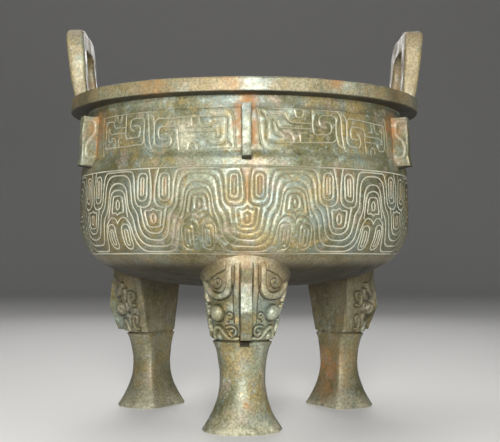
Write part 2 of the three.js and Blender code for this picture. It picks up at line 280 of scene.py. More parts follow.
class LineSheet:
    """Distances from a set of lines, worked out once on a fine sheet and then read from it."""

    def __init__(self, paths, low, high):
        self.low = low
        across = np.arange(low[0], high[0] + 2 * SHEET_STEP, SHEET_STEP)
        up = np.arange(low[1], high[1] + 2 * SHEET_STEP, SHEET_STEP)
        self.sheet = distance(*np.meshgrid(across, up, indexing="ij"), paths)

    def __call__(self, across, up):
        x = np.clip((across - self.low[0]) / SHEET_STEP, 0, self.sheet.shape[0] - 1.001)
        y = np.clip((up - self.low[1]) / SHEET_STEP, 0, self.sheet.shape[1] - 1.001)
        i, j = x.astype(int), y.astype(int)
        fx, fy = x - i, y - j
        lower = mix(self.sheet[i, j], self.sheet[i + 1, j], fx)
        upper = mix(self.sheet[i, j + 1], self.sheet[i + 1, j + 1], fx)
        return mix(lower, upper, fy)


def line_profile(gap, half_width):
    """1 in the middle of an incised line, 0 past its edge."""
    return 0.5 + 0.5 * np.cos(math.pi * np.clip(gap / half_width, 0, 1))


# Meshes

def place(azimuth, radius, height):
    return np.stack([radius * np.sin(azimuth), -radius * np.cos(azimuth), height + 0 * azimuth], -1)


def grid_faces(rows, columns, loop_rows):
    """Quads of a grid whose columns close into a ring. Its rows close too, or end in two fans."""
    last = rows if loop_rows else rows - 1
    row, column = np.meshgrid(np.arange(last), np.arange(columns), indexing="ij")

    def index(r, c):
        return (r % rows) * columns + c % columns

    corners = [index(row, column), index(row, column + 1), index(row + 1, column + 1), index(row + 1, column)]
    faces = np.stack(corners, -1).reshape(-1, 4).tolist()
    if loop_rows:
        return faces
    first_pole, last_pole = rows * columns, rows * columns + 1
    top = (rows - 1) * columns
    for c in range(columns):
        after = (c + 1) % columns
        faces.append((first_pole, after, c))
        faces.append((last_pole, top + c, top + after))
    return faces


def grid_piece(name, points, loop_rows=False):
    """A closed mesh from points[row, column]. Without loop_rows each end is closed by a fan."""
    rows, columns = points.shape[:2]
    corners = points.reshape(-1, 3)
    if not loop_rows:
        corners = np.vstack([corners, points[0].mean(0), points[-1].mean(0)])
    return mesh_piece(name, corners, grid_faces(rows, columns, loop_rows))


def mesh_piece(name, corners, faces):
    mesh = bpy.data.meshes.new(name)
    mesh.from_pydata((corners * MM).tolist(), [], faces)
    piece = bpy.data.objects.new(name, mesh)
    bpy.context.collection.objects.link(piece)
    return piece


def corners_of(piece):
    """A piece's vertices in millimetres."""
    corners = np.empty(3 * len(piece.data.vertices))
    piece.data.vertices.foreach_get("co", corners)
    return corners.reshape(-1, 3) / MM


def thin_out(piece, triangles):
    """Fewer triangles where the surface is plain, so that a fine grid keeps its detail."""
    mesh = piece.data
    now = sum(len(face.vertices) - 2 for face in mesh.polygons)
    modifier = piece.modifiers.new("thin_out", "DECIMATE")
    modifier.ratio = min(1, triangles / now)
    bpy.context.view_layer.objects.active = piece
    bpy.ops.object.modifier_apply(modifier=modifier.name)


# What the bronze is tinted by: incised lines, lime in them, rust, tan stains, cream and green crusts, soot
# and painted shade
MASKS = ("groove", "lime", "rust", "tan", "pale", "bloom", "dark")


def finish_piece(piece, masks, crease=40):
    """Shading, the masks of patina and painted shade at each vertex, the bronze, and the piece's place in the
    frame.
    """
    mesh = piece.data
    turn_outwards(mesh)
    mesh.polygons.foreach_set("use_smooth", [True] * len(mesh.polygons))
    mesh.set_sharp_from_angle(angle=math.radians(crease))
    for name in MASKS:
        if name not in mesh.attributes:
            keep_mask(piece, name, masks.get(name, 0))
    corners = corners_of(piece)
    for name, degrees, out, height, reach, strength in MARKS:
        away = np.linalg.norm(corners - place(np.radians(degrees), out, height), axis=1)
        if away.min() < 2 * reach:
            raise_mask(piece, name, strength * np.exp(-(away / reach) ** 2))
    mesh.materials.append(BRONZE)
    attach(piece, "root")
    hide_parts("ding_casting")


def keep_mask(piece, name, values):
    """Stores one of the masks of patina and painted shade, from 0 to 1, at the piece's vertices."""
    mesh = piece.data
    at_vertices = np.zeros(len(mesh.vertices))
    at_vertices[:] = values
    mesh.attributes.new(name, "FLOAT", "POINT").data.foreach_set("value", at_vertices)


def raise_mask(piece, name, values):
    stored = piece.data.attributes[name].data
    before = np.empty(len(stored))
    stored.foreach_get("value", before)
    stored.foreach_set("value", np.maximum(before, values))


def turn_outwards(mesh):
    """Flips the faces of a closed mesh whose volume comes out negative."""
    mesh.calc_loop_triangles()
    triangles = np.empty(3 * len(mesh.loop_triangles), int)
    mesh.loop_triangles.foreach_get("vertices", triangles)
    corners = np.empty(3 * len(mesh.vertices))
    mesh.vertices.foreach_get("co", corners)
    a, b, c = corners.reshape(-1, 3)[triangles.reshape(-1, 3)].transpose(1, 0, 2)
    if np.einsum("ij,ij->", a, np.cross(b, c)) < 0:
        mesh.flip_normals()


# Bronze

MARKS = (  # mask, azimuth in degrees, distance from the vessel's axis, height, reach, strength
    ("pale", -21, 94, 158, 7, 0.95),
    ("rust", 0, 94, 177, 5, 1.0),
    ("rust", -3, 94, 165, 4, 0.8),
    ("rust", 61, 94, 168, 7, 1.0),
    ("rust", -60, 94, 168, 7, 1.0),
    ("bloom", 31, 105, 185, 5, 0.9),
    ("bloom", -18, 105, 181, 2.5, 0.9),
    ("bloom", 1, 105, 185, 4, 0.8),
    ("rust", 27, 105, 186, 4, 0.8),
    ("rust", -28, 105, 183, 7, 0.6),
    ("rust", -4, 105, 184, 5, 0.5),
    ("dark", 52, 105, 183, 9, 0.5),
    ("dark", -62, 105, 182, 12, 0.45),
    ("rust", 120, 62, 26, 11, 0.9),
    ("rust", 118, 58, 12, 9, 0.8),
    ("bloom", 108, 82, 2, 4, 1.0),
    ("rust", -4, 86, 70, 2.5, 0.9),
    ("bloom", -5, 87, 67, 2.5, 0.9),
    ("tan", -11.6, 83, 4.3, 3.5, 0.9),
    ("tan", -5.5, 84, 9.5, 3.5, 0.9),
    ("tan", 0.5, 83, 14.5, 3.5, 0.9),
    ("pale", -5.5, 84, 8.5, 5, 0.5),
    ("rust", 0.2, 83, 15.3, 1.5, 1.0),
    ("tan", -0.6, 82.5, 40, 4, 0.8),
    ("tan", -3.3, 80.7, 33.5, 4, 0.7),
    ("rust", 0, 92, 92, 11, 0.35),
    # A painted highlight on the bowl just above the front leg
    ("pale", -4, 92, 91, 4, 0.8),
)
OLIVE = (0.105, 0.10, 0.043)
GREY_GREEN = (0.205, 0.215, 0.138)
BLUE_GREY = (0.165, 0.205, 0.175)
OCHRE = (0.25, 0.19, 0.07)
BLUSH = (0.29, 0.235, 0.17)
TAN = (0.25, 0.19, 0.095)
VERDIGRIS = (0.34, 0.39, 0.32)
CREAM = (0.44, 0.42, 0.29)
LIME = (0.58, 0.58, 0.46)
RUST = (0.30, 0.14, 0.045)
BROWN = (0.085, 0.062, 0.028)
# Near black of the dark mask: painted shade under things and in creases, and some soot
SHADE_AND_SOOT = (0.022, 0.017, 0.006)


class Nodes:
    """Short calls for the shader nodes that the bronze is made of."""

    def __init__(self, material):
        self.tree = material.node_tree
        self.place = self.new("ShaderNodeTexCoord").outputs["Object"]

    def new(self, kind, **settings):
        node = self.tree.nodes.new(kind)
        for name, value in settings.items():
            setattr(node, name, value)
        return node

    def feed(self, socket, value):
        if isinstance(value, bpy.types.NodeSocket):
            self.tree.links.new(value, socket)
        else:
            socket.default_value = value

    def noise(self, size, detail=4, roughness=0.55, shift=0):
        """Noise whose features are about as many millimetres across as size says, from shift metres away."""
        mapping = self.new("ShaderNodeMapping")
        self.feed(mapping.inputs["Vector"], self.place)
        mapping.inputs["Location"].default_value = (shift, shift, shift)
        node = self.new("ShaderNodeTexNoise")
        self.feed(node.inputs["Vector"], mapping.outputs["Vector"])
        node.inputs["Scale"].default_value = 1 / (size * MM)
        node.inputs["Detail"].default_value = detail
        node.inputs["Roughness"].default_value = roughness
        return node.outputs["Fac"]

    def range(self, value, low, high, to_low=0.0, to_high=1.0):
        node = self.new("ShaderNodeMapRange", interpolation_type="SMOOTHSTEP")
        for name, number in (("From Min", low), ("From Max", high), ("To Min", to_low), ("To Max", to_high)):
            node.inputs[name].default_value = number
        self.feed(node.inputs["Value"], value)
        return node.outputs["Result"]

    def math(self, operation, a, b):
        node = self.new("ShaderNodeMath", operation=operation)
        self.feed(node.inputs[0], a)
        self.feed(node.inputs[1], b)
        return node.outputs["Value"]

    def mix(self, share, a, b, blend="MIX"):
        node = self.new("ShaderNodeMix", data_type="RGBA", blend_type=blend)
        self.feed(node.inputs["Factor"], share)
        for socket, colour in ((node.inputs["A"], a), (node.inputs["B"], b)):
            self.feed(socket, (*colour, 1) if isinstance(colour, tuple) else colour)
        return node.outputs["Result"]

    def mask(self, name):
        return self.new("ShaderNodeAttribute", attribute_name=name).outputs["Fac"]


def bronze_material():
    """Olive bronze under a thin mineral patina: grey-green bloom, ochre stains, pale lines, rust at roots,
    and painted shade with some soot from the dark mask.
    """
    material = bpy.data.materials.new("bronze")
    material.use_nodes = True
    n = Nodes(material)
    shader = material.node_tree.nodes["Principled BSDF"]

    # Bare metal, with wide and then narrow stains
    haze = n.range(n.noise(34, 6, 0.62), 0.40, 0.62)
    colour = n.mix(haze, OLIVE, GREY_GREEN)
    colour = n.mix(n.range(n.noise(42, 6, 0.6), 0.52, 0.66, 0.0, 0.8), colour, BLUE_GREY)
    colour = n.mix(n.range(n.noise(26, 6, 0.6, 1), 0.50, 0.64, 0.0, 0.7), colour, OCHRE)
    for tint, size, share, shift in ((OCHRE, 9, 0.7, 2), (BLUE_GREY, 8, 0.6, 3), (BLUSH, 11, 0.6, 4)):
        colour = n.mix(n.range(n.noise(size, 8, 0.68, shift), 0.54, 0.62, 0.0, share), colour, tint)
    # Crusts, and what the masks tint
    speckle = n.range(n.noise(5, 8, 0.75), 0.54, 0.66)
    colour = n.mix(n.math("MULTIPLY", speckle, 0.6), colour, VERDIGRIS)
    crust = n.math("MAXIMUM", n.mask("bloom"), n.range(n.noise(15, 8, 0.7), 0.58, 0.70, 0.0, 0.7))
    colour = n.mix(crust, colour, VERDIGRIS)
    tan = n.math("MULTIPLY", n.mask("tan"), n.range(n.noise(18, 7, 0.68), 0.36, 0.60, 0.15, 1.0))
    colour = n.mix(tan, colour, TAN)
    pale = n.math("MULTIPLY", n.mask("pale"), n.range(n.noise(9, 6, 0.65), 0.30, 0.62, 0.2, 1.0))
    colour = n.mix(pale, colour, CREAM)
    grain = n.range(n.noise(1.3, 4, 0.7), 0.32, 0.70, 0.62, 1.32)
    colour = n.mix(1.0, colour, grain, "MULTIPLY")
    # The dark mask tints towards near black: mostly painted shade under things and in creases, partly soot
    shade_and_soot = n.math("MULTIPLY", n.mask("dark"), n.range(n.noise(20, 4), 0.25, 0.7, 0.92, 1.0))
    colour = n.mix(shade_and_soot, colour, SHADE_AND_SOOT)
    # Incised lines: pale with lime and dark walls at the sides, brown with pale walls at the front
    wear = n.range(n.noise(12, 5, 0.6), 0.30, 0.60, 0.55, 1.0)
    lime = n.mask("lime")
    cut = n.mask("groove")
    groove = n.math("ADD", cut, n.math("MULTIPLY", lime, n.math("MULTIPLY", cut, 0.8)))
    walls = n.math("MULTIPLY", n.range(groove, 0.05, 0.45), n.range(lime, 0.0, 1.0, 0.38, 0.6))
    colour = n.mix(n.math("MULTIPLY", walls, wear), colour, n.mix(lime, CREAM, BROWN))
    line = n.math("MULTIPLY", n.range(groove, 0.45, 0.85), wear)
    colour = n.mix(n.math("MULTIPLY", line, 0.85), colour, n.mix(lime, BROWN, LIME))
    rust = n.math("MULTIPLY", n.mask("rust"), n.range(n.noise(6, 6, 0.7), 0.36, 0.60, 0.0, 0.95))
    colour = n.mix(rust, colour, RUST)
    n.feed(shader.inputs["Base Color"], colour)

    # A satin sheen, dull on crusts, soot and painted shade
    matt = n.math("MAXIMUM", n.math("MAXIMUM", pale, rust), n.math("MAXIMUM", line, shade_and_soot))
    matt = n.math("MAXIMUM", matt, n.math("MULTIPLY", tan, 0.6))
    rough = n.math("ADD", n.range(n.noise(6, 5, 0.6), 0.3, 0.7, 0.36, 0.52), n.math("MULTIPLY", matt, 0.3))
    n.feed(shader.inputs["Roughness"], rough)
    shader.inputs["Metallic"].default_value = 0.2
    shader.inputs["Specular IOR Level"].default_value = 0.5

    bump = n.new("ShaderNodeBump")
    bump.inputs["Strength"].default_value = 0.35
    bump.inputs["Distance"].default_value = 0.4 * MM
    n.feed(bump.inputs["Height"], n.math("ADD", n.noise(1.6, 4, 0.6), n.noise(5, 5, 0.6)))
    n.feed(shader.inputs["Normal"], bump.outputs["Normal"])
    return material


BRONZE = bronze_material()


# Bowl

def belly_radius(height):
    above = BELLY_RADIUS - BELLY_BULGE * (height - BELLY_HEIGHT) ** 2
    drop = np.clip((BELLY_HEIGHT - height) / (BELLY_HEIGHT - BOTTOM_HEIGHT), 0, 1)
    below = BELLY_RADIUS * (1 - drop ** BOWL_DROP_POWER) ** (1 / BOWL_WIDTH_POWER)
    return np.where(height > BELLY_HEIGHT, above, below)


def neck_radius(height):
    return mix(NECK_FOOT_RADIUS, NECK_TOP_RADIUS, (height - NECK_FOOT) / (RIM_UNDERSIDE - NECK_FOOT))


def lower_bowl(inset, steps):
    """[radius, height] from near the axis up to the widest place, drawn in by inset."""
    angle = np.linspace(0, math.pi / 2, steps)[1:]
    radius = (BELLY_RADIUS - inset) * np.sin(angle) ** (2 / BOWL_WIDTH_POWER)
    drop = (BELLY_HEIGHT - BOTTOM_HEIGHT - inset) * np.cos(angle) ** (2 / BOWL_DROP_POWER)
    return np.stack([radius, BELLY_HEIGHT - drop], -1)


def stepped(path, longest):
    """A path with points added, so that none of its steps is longer than given."""
    points = [path[0]]
    for start, end in zip(path[:-1], path[1:]):
        pieces = max(1, math.ceil(np.linalg.norm(end - start) / longest))
        points.extend(mix(start, end, k / pieces) for k in range(1, pieces + 1))
    return np.array(points)


def bowl_profile():
    """[radius, height] of the bowl, up its outside and down its inside, with a bed behind each frieze."""
    outside = lower_bowl(0, 60)
    outside = outside[outside[:, 1] < WAVE_FOOT]

    def belly(height, inset=0):
        return float(belly_radius(height)) - inset, height

    def neck(height, inset=0):
        return neck_radius(height) - inset, height

    bed_heights = np.linspace(WAVE_FOOT + FRIEZE_LIP, WAVE_TOP - FRIEZE_LIP, 12)
    bed = [belly(height, FRIEZE_BED) for height in bed_heights]
    shoulder = rounded(
        [belly(WAVE_TOP), (SHOULDER_RADIUS, SHOULDER_HEIGHT), neck(NECK_FOOT), neck(NECK_FOOT + 1)],
        SHOULDER_ROUND,
    )
    neck_bed = [neck(SCROLL_FOOT + FRIEZE_LIP, FRIEZE_BED), neck(SCROLL_TOP - FRIEZE_LIP, FRIEZE_BED)]
    rim = rounded(
        [
            neck(SCROLL_TOP),
            neck(RIM_UNDERSIDE),
            (RIM_RADIUS, RIM_UNDERSIDE),
            (RIM_RADIUS, RIM_TOP),
            (NECK_TOP_RADIUS - WALL, RIM_TOP),
            (NECK_FOOT_RADIUS - WALL, NECK_FOOT - FOLD_DROP),
            (SHOULDER_RADIUS - WALL, SHOULDER_HEIGHT - FOLD_DROP),
            belly(BELLY_HEIGHT, WALL),
        ],
        RIM_ROUND,
    )
    inside = lower_bowl(WALL, 50)[::-1]
    whole = np.vstack([outside, [belly(WAVE_FOOT)], bed, shoulder[:-1], neck_bed, rim, inside[1:]])
    return stepped(whole, BOWL_ROW)


def hand_cast(points):
    """Points of the bowl moved in and out, for a wall that no lathe has trued."""
    swell = 0.13 * unevenness(points, 45, BOWL_SEED) + 0.06 * unevenness(points, 11, BOWL_SEED + 1)
    out = points[..., :2] / np.linalg.norm(points[..., :2], axis=-1, keepdims=True)
    return points + np.concatenate([swell[..., None] * out, 0.5 * swell[..., None]], -1)


def bowl():
    profile = bowl_profile()
    azimuth = np.linspace(0, TURN, BOWL_COLUMNS, endpoint=False)
    points = place(azimuth[None, :], profile[:, :1], profile[:, 1:])
    points = hand_cast(points)
    piece = grid_piece("bowl", points)
    corners = corners_of(piece)
    radius, height = np.hypot(corners[:, 0], corners[:, 1]), corners[:, 2]
    on_rim = smooth(RIM_UNDERSIDE - 1, RIM_UNDERSIDE + 2, height)
    inside = (radius < NECK_TOP_RADIUS - 1) * smooth(BOTTOM_HEIGHT, BOTTOM_HEIGHT + 6, height)
    # Painted shade: the bowl darkens below the belly frieze and on the rim's underside; the inside is darker
    # too
    shade_below = 0.35 * smooth(WAVE_FOOT, WAVE_FOOT - 2, height)
    shade_below += 0.65 * smooth(WAVE_FOOT - 2, WAVE_FOOT - 8, height)
    # Painted highlight above each leg: it lifts the painted shade below and tints the bowl tan there
    painted_highlight = painted_highlight_above_legs(corners)
    shade_below *= 1 - 0.9 * painted_highlight
    shade_under_rim = smooth(NECK_TOP_RADIUS + 0.2, NECK_TOP_RADIUS + 0.8, radius) * (height > SCROLL_TOP)
    shade_under_rim *= smooth(RIM_UNDERSIDE + 1, RIM_UNDERSIDE + 0.2, height)
    masks = {
        "tan": np.maximum.reduce([0.85 * on_rim, 0.6 * smooth(WAVE_FOOT, WAVE_FOOT - 1, height), painted_highlight]),
        "dark": np.maximum.reduce([shade_below, 0.35 * inside * (1 - on_rim), shade_under_rim]),
        "rust": flange_rust(corners),
    }
    finish_piece(piece, masks)


def painted_highlight_above_legs(points):
    """A painted highlight on the bowl above each leg, from 0 to 1."""
    tops = [place(TURN * k / LEG_COUNT, BELLY_RADIUS - 8, WAVE_FOOT - 2) for k in range(LEG_COUNT)]
    away = np.min([np.linalg.norm(points - top, axis=-1) for top in tops], 0)
    return np.exp(-(away / HIGHLIGHT_REACH) ** 2)


def flange_rust(corners):
    """Rust that has run from the flanges' roots, on the neck."""
    azimuth = np.degrees(np.arctan2(corners[:, 0], -corners[:, 1]))
    apart = [np.abs((azimuth - flange + 180) % 360 - 180) for flange in FLANGE_AZIMUTHS]
    aside = np.radians(np.min(apart, 0)) * NECK_TOP_RADIUS
    beside = np.exp(-((aside - FLANGE_THICKNESS / 2) / RUST_REACH) ** 2)
    height = corners[:, 2]
    on_neck = smooth(NECK_FOOT - 3, NECK_FOOT + 6, height) * smooth(RIM_UNDERSIDE + 1, FLANGE_TOP, height)
    return beside * on_neck


# Wave frieze of the belly

def wave_lines():
    """The frieze's incised lines from a trough, at 0, to the next crest, at WAVE_HALF."""
    crest = WAVE_HALF
    middle = 118.2

    def turned(corners):
        return [(crest - across, 2 * middle - up) for across, up in corners]

    shield = [(0, 119.8), (1.7, 118.4), (5.3, 119), (3.9, 110.4), (2.4, 109.4), (0, 109.4)]
    leaf = [(0, 117), (1.5, 116.4), (1.3, 112.2), (0, 111.6)]
    pocket = [(0, 106.2), (5.4, 106.2), (8.2, 121.2)]
    arches = [(0, 96.9), (13.3, 96.9), (16.2, 111.5), (20.2, 115.6), (24.6, 114.6), (crest, 112)]
    lower_strand = [(0, 99.7), (10.9, 99.7), (13.8, 114.4), (17.3, 119.4), (19.4, 133.8), (crest, 133.8)]
    upper_strand = [(0, 102.8), (8.2, 102.8), (10.7, 117.4), (14.2, 120.9), (16.4, 138), (crest, 138)]
    lobes = [(crest, 140), (14.6, 140), (13, 134.5), (11.8, 120.4), (1.1, 120.4), (1.1, 134), (3.2, 141)]
    lines = [rounded(corners, 7) for corners in (arches, lower_strand, upper_strand, lobes)]
    lines += [stadium(7, 3.1, 123.8, 138.4), stadium(7, 0.9, 126.6, 136)]
    lines += [stadium(20.2, 3.2, 98, 111.4), stadium(20.2, 1.2, 99.8, 108.4)]
    for corners, radius in ((shield, 1.6), (leaf, 1.6), (pocket, 5)):
        lines.append(rounded(corners, radius))
        lines.append(rounded(turned(corners), radius))
    for border in (WAVE_FOOT + 0.5, WAVE_TOP - 0.8):
        lines.append(np.array([(0, border), (crest, border)]))
    return lines


def wave_place(azimuth, height):
    """Where a place of the belly lies on the sheet that holds the lines: half a wave, mirrored."""
    along = azimuth * BELLY_RADIUS
    across = np.abs((along + WAVE_HALF) % (2 * WAVE_HALF) - WAVE_HALF)
    return across, height


def by_hand(azimuth, height, radius, foot, top, seed):
    """A place moved along the wall, so that no two lines are drawn alike. The borders stay straight."""
    points = place(azimuth, radius, height)
    free = smooth(0, 6, np.minimum(height - foot, top - height))
    aside = FINE_WOBBLE * unevenness(points, 17, seed) + WIDE_WOBBLE * unevenness(points, 60, seed + 1)
    up = FINE_WOBBLE * unevenness(points, 15, seed + 2) + WIDE_WOBBLE * unevenness(points, 60, seed + 3)
    return azimuth + free * aside / radius, height + free * up


def lime_share(azimuth):
    """How much pale lime the incised lines hold: 0 at the front, where they are brown, rising to 1 at the
    sides.
    """
    turned = np.abs((np.degrees(azimuth) + 180) % 360 - 180)
    return 0.65 * smooth(14, 34, turned) + 0.35 * smooth(38, 62, turned)


def cut_depth(gap, flat, seed, share):
    """How deep the incised lines are at each place, more worn in some regions than in others."""
    worn = share * np.clip(0.95 + 0.2 * unevenness(flat, 28, seed), 0.7, 1.15)
    cut = LINE_DEPTH * line_profile(gap, LINE_HALF_WIDTH) + BAND_CROWN * line_profile(gap, BAND_EDGE)
    return worn * cut


def frieze_ring(name, foot, top, wall, gap_at, seed, triangles, depth=1):
    """A ring of wall(height), let into the bowl, with the lines of gap_at(azimuth, height) cut into it."""
    heights = np.linspace(foot, top, round((top - foot) / FRIEZE_ROW))
    azimuth, height = np.meshgrid(np.linspace(0, TURN, FRIEZE_COLUMNS, endpoint=False), heights)
    flat = place(azimuth, wall(height), height)
    relief = 0.04 * unevenness(flat, 5, seed) - cut_depth(gap_at(azimuth, height), flat, seed + 1, depth)
    outside = place(azimuth, wall(height) + relief, height)
    back = [place(azimuth[:1], wall(end) - 1.5 * FRIEZE_BED, end) for end in (foot, top)]
    piece = grid_piece(name, hand_cast(np.concatenate([back[0], outside, back[1]])), loop_rows=True)
    thin_out(piece, triangles)
    return piece


def wave_frieze():
    sheet = LineSheet(wave_lines(), (0, WAVE_FOOT - 1), (WAVE_HALF, WAVE_TOP + 1))

    def gap_at(azimuth, height):
        drawn = by_hand(azimuth, height, BELLY_RADIUS, WAVE_FOOT, WAVE_TOP, WAVE_SEED)
        return sheet(*wave_place(*drawn))

    piece = frieze_ring("belly_frieze", WAVE_FOOT, WAVE_TOP, belly_radius, gap_at, WAVE_WEAR_SEED, WAVE_FACES)
    corners = corners_of(piece)
    azimuth = np.arctan2(corners[:, 0], -corners[:, 1])
    across, up = wave_place(*by_hand(azimuth, corners[:, 2], BELLY_RADIUS, WAVE_FOOT, WAVE_TOP, WAVE_SEED))
    in_slot = np.exp(-((across - 7) / 1.2) ** 2) * smooth(125, 128, up) * smooth(138, 135, up)
    in_stem = smooth(1.6, 0.6, across) * smooth(120, 123, up) * (1 - lime_share(azimuth))
    in_shield = np.exp(-(across / 2.4) ** 2) * smooth(108, 112, up) * smooth(120, 116, up)
    groove = line_profile(gap_at(azimuth, corners[:, 2]), LINE_HALF_WIDTH)
    masks = {
        "groove": groove,
        "lime": lime_share(azimuth),
        # Painted shade: the belly darkens between its lines towards the sides, away from the lit front
        "dark": 0.4 * smooth(0, 0.9, lime_share(azimuth)) * (1 - groove),
        "rust": np.maximum(0.45 * in_slot, np.maximum(0.7 * in_stem, 0.35 * in_shield)),
    }
    finish_piece(piece, masks, FRIEZE_CREASE)


# Scroll frieze of the neck

PANEL_MIDDLE = 53.8  # from the flange above a leg to where a panel's two scrolls meet
FAR_SCROLL_START = 18  # past this distance from there, the scroll away from the leg is drawn closer
FAR_SCROLL_SCALE = 0.775


def scroll_lines():
    """One scroll, from the flange above a leg, at 0, to the panel's middle, and the start of the next."""
    hook = [(8, 170.6), (10.7, 167), (10.1, 154.4), (50.2, 154.4)]
    hook += [(50.2, 169.4), (39.6, 169.4), (39.6, 163), (42.6, 162.4)]
    corner_sets = [  # corners, how far a turn is rounded
        ([(5.6, 172.4), (6.6, 158), (7.6, 152), (11, 149.8)], 3),
        (hook, 3.2),
        ([(10.6, 167), (12, 169.5), (20.3, 169.4), (22.4, 165.4), (35.8, 165.2)], 2),
        ([(18.2, 157.7), (14.3, 158.4), (13.9, 165.6), (16, 165.4), (16.4, 162.2), (35.9, 162.2)], 1.6),
        ([(35.6, 172), (35.9, 158.6), (47.3, 158.6), (47.3, 165.6), (42.6, 165.4)], 3),
        ([(24.7, 154.5), (23.4, 159.8), (19, 159.9)], 2.4),
        ([(28.6, 154.5), (27.8, 159.6), (32, 159.8)], 1.8),
        ([(25.2, 172.4), (26.4, 168), (29.6, 168.2), (31, 172.4)], 2),
        ([(46.5, 172.6), (52.2, 172.4), (53.5, 166), (PANEL_MIDDLE, SCROLL_MIDDLE)], 3.5),
        ([(50.3, 158), (51.4, 152.2), (55.4, 152.4)], 3),
    ]
    lines = []
    for corners, radius in corner_sets:
        path = rounded(corners, radius)
        lines.append(path)
        lines.append(np.array([2 * PANEL_MIDDLE, 2 * SCROLL_MIDDLE]) - path)
    for border in (SCROLL_FOOT + 0.4, SCROLL_TOP - 0.3):
        lines.append(np.array([(0, border), (2 * PANEL_MIDDLE, border)]))
    return lines


def scroll_place(azimuth, height):
    """Where a place of the neck lies on the sheet. Each half of a panel is the other turned upside down."""
    edges = np.radians([*FLANGE_AZIMUTHS, 360])
    azimuth = azimuth % TURN
    panel = np.searchsorted(edges[1:-1], azimuth, side="right")
    start, end = edges[panel], edges[panel + 1]
    # Panels run outwards from the front flange on both sides, and the narrower ones are drawn closer.
    from_front = np.where(panel < len(FLANGE_AZIMUTHS) / 2, azimuth - start, end - azimuth)
    across = from_front / (end - start) * edges[1] * NECK_TOP_RADIUS
    height = np.where(azimuth > math.pi, 2 * SCROLL_MIDDLE - height, height)
    past = across - PANEL_MIDDLE
    closer = FAR_SCROLL_START + (past - FAR_SCROLL_START) / FAR_SCROLL_SCALE
    far = np.where(past > FAR_SCROLL_START, closer, past)
    height = np.where(past > 0, 2 * SCROLL_MIDDLE - height, height)
    return PANEL_MIDDLE - np.abs(far), height


def scroll_frieze():
    sheet = LineSheet(scroll_lines(), (0, SCROLL_FOOT - 2), (PANEL_MIDDLE, SCROLL_TOP + 2))

    def gap_at(azimuth, height):
        drawn = by_hand(azimuth, height, NECK_TOP_RADIUS, SCROLL_FOOT, SCROLL_TOP, SCROLL_SEED)
        return sheet(*scroll_place(*drawn))

    piece = frieze_ring(
        "neck_frieze", SCROLL_FOOT, SCROLL_TOP, neck_radius, gap_at,
        SCROLL_WEAR_SEED, SCROLL_FACES, NECK_LINE_SHARE,
    )
    corners = corners_of(piece)
    azimuth = np.arctan2(corners[:, 0], -corners[:, 1])
    masks = {
        "groove": NECK_LINE_SHARE * line_profile(gap_at(azimuth, corners[:, 2]), LINE_HALF_WIDTH),
        "lime": 0.75 * lime_share(azimuth),
        "rust": flange_rust(corners),
    }
    finish_piece(piece, masks, FRIEZE_CREASE)


# Upright plates: the flanges of the neck and the nose ridges of the legs

def plate_points(heights, root, reach, thickness, edge, columns=26):
    """Rows, in [out, aside, height], of a plate with round edges, standing out from root to reach(height)."""
    rows = []
    for height in heights:
        out = reach(height)
        half = thickness / 2
        loop = rounded([(root, -half), (out, -half), (out, half), (root, half)], edge)
        loop = np.vstack([stepped(loop, (out - root) / columns * 2), [(root, 0)]])
        rows.append(np.column_stack([loop, np.full(len(loop), height)]))
    shortest = min(len(row) for row in rows)
    return np.array([resampled(row, shortest) for row in rows])


def resampled(row, count):
    """The same path with the given number of points, spread evenly along it."""
    along = np.concatenate([[0], np.cumsum(np.linalg.norm(np.diff(row, axis=0), axis=1))])
    want = np.linspace(0, along[-1], count)
    return np.stack([np.interp(want, along, row[:, k]) for k in range(row.shape[1])], -1)


def stand(points, azimuth):
    """A plate's points, turned to an azimuth about the vessel's axis."""
    out, aside, height = np.moveaxis(points, -1, 0)
    sideways = np.array([math.cos(azimuth), math.sin(azimuth), 0])
    return place(azimuth + 0 * out, out, height) + aside[..., None] * sideways


def flange_reach(height):
    if height < FLANGE_FOOT:
        return NECK_FOOT_RADIUS + 2
    share = (height - FLANGE_FOOT) / (FLANGE_TOP - FLANGE_FOOT)
    spur = FLANGE_SPUR - FLANGE_SWELL
    sweep = np.interp(share, [0, 0.1, 0.25, 0.55, 1], [spur, 0.5 * spur, 0, 0, -FLANGE_SWELL])
    return FLANGE_REACH + FLANGE_SWELL + float(sweep)


def flange_curl():
    """The S-shaped line cut in each side of a flange, as [out, height]."""
    return rounded([(102.4, 171.5), (97, 172), (97, 164), (102.6, 159), (102.6, 150.5), (97.4, 151)], 3.2)


def flanges():
    heights = np.concatenate([[FLANGE_FOOT - FLANGE_UNDERCUT], np.linspace(FLANGE_FOOT, FLANGE_TOP, 56)])
    points = plate_points(heights, NECK_TOP_RADIUS - WALL / 2, flange_reach, FLANGE_THICKNESS, FLANGE_EDGE)
    gap = distance(points[..., 0], points[..., 2], [flange_curl()])
    cut = line_profile(gap, 0.9)
    points[..., 1] -= 0.5 * cut * np.sign(points[..., 1])
    out, _, height = np.moveaxis(points, -1, 0)
    for k, degrees in enumerate(FLANGE_AZIMUTHS):
        stood = stand(points, math.radians(degrees))
        stood += (0.14 * unevenness(stood, 9, FLANGE_SEED + k))[..., None]
        piece = grid_piece(f"flange_{k}", stood)
        edge = smooth(FLANGE_REACH - 9, FLANGE_REACH - 1, out)
        masks = {
            "bloom": 0.06 * edge,
            "groove": cut,
            "lime": 0.3 + 0 * cut,
            "rust": 0.8 * smooth(FLANGE_REACH - 6, NECK_TOP_RADIUS, out),
            # Painted shade under the foot, over a slight darkening of the whole flange
            "dark": np.maximum(0.14, smooth(FLANGE_FOOT + 0.2, FLANGE_FOOT, height)),
        }
        finish_piece(piece, {name: with_poles(values) for name, values in masks.items()})


def with_poles(values):
    """A mask of a grid as one row of numbers, with the two middles of its end fans."""
    return np.concatenate([values.ravel(), [values[0].mean(), values[-1].mean()]])


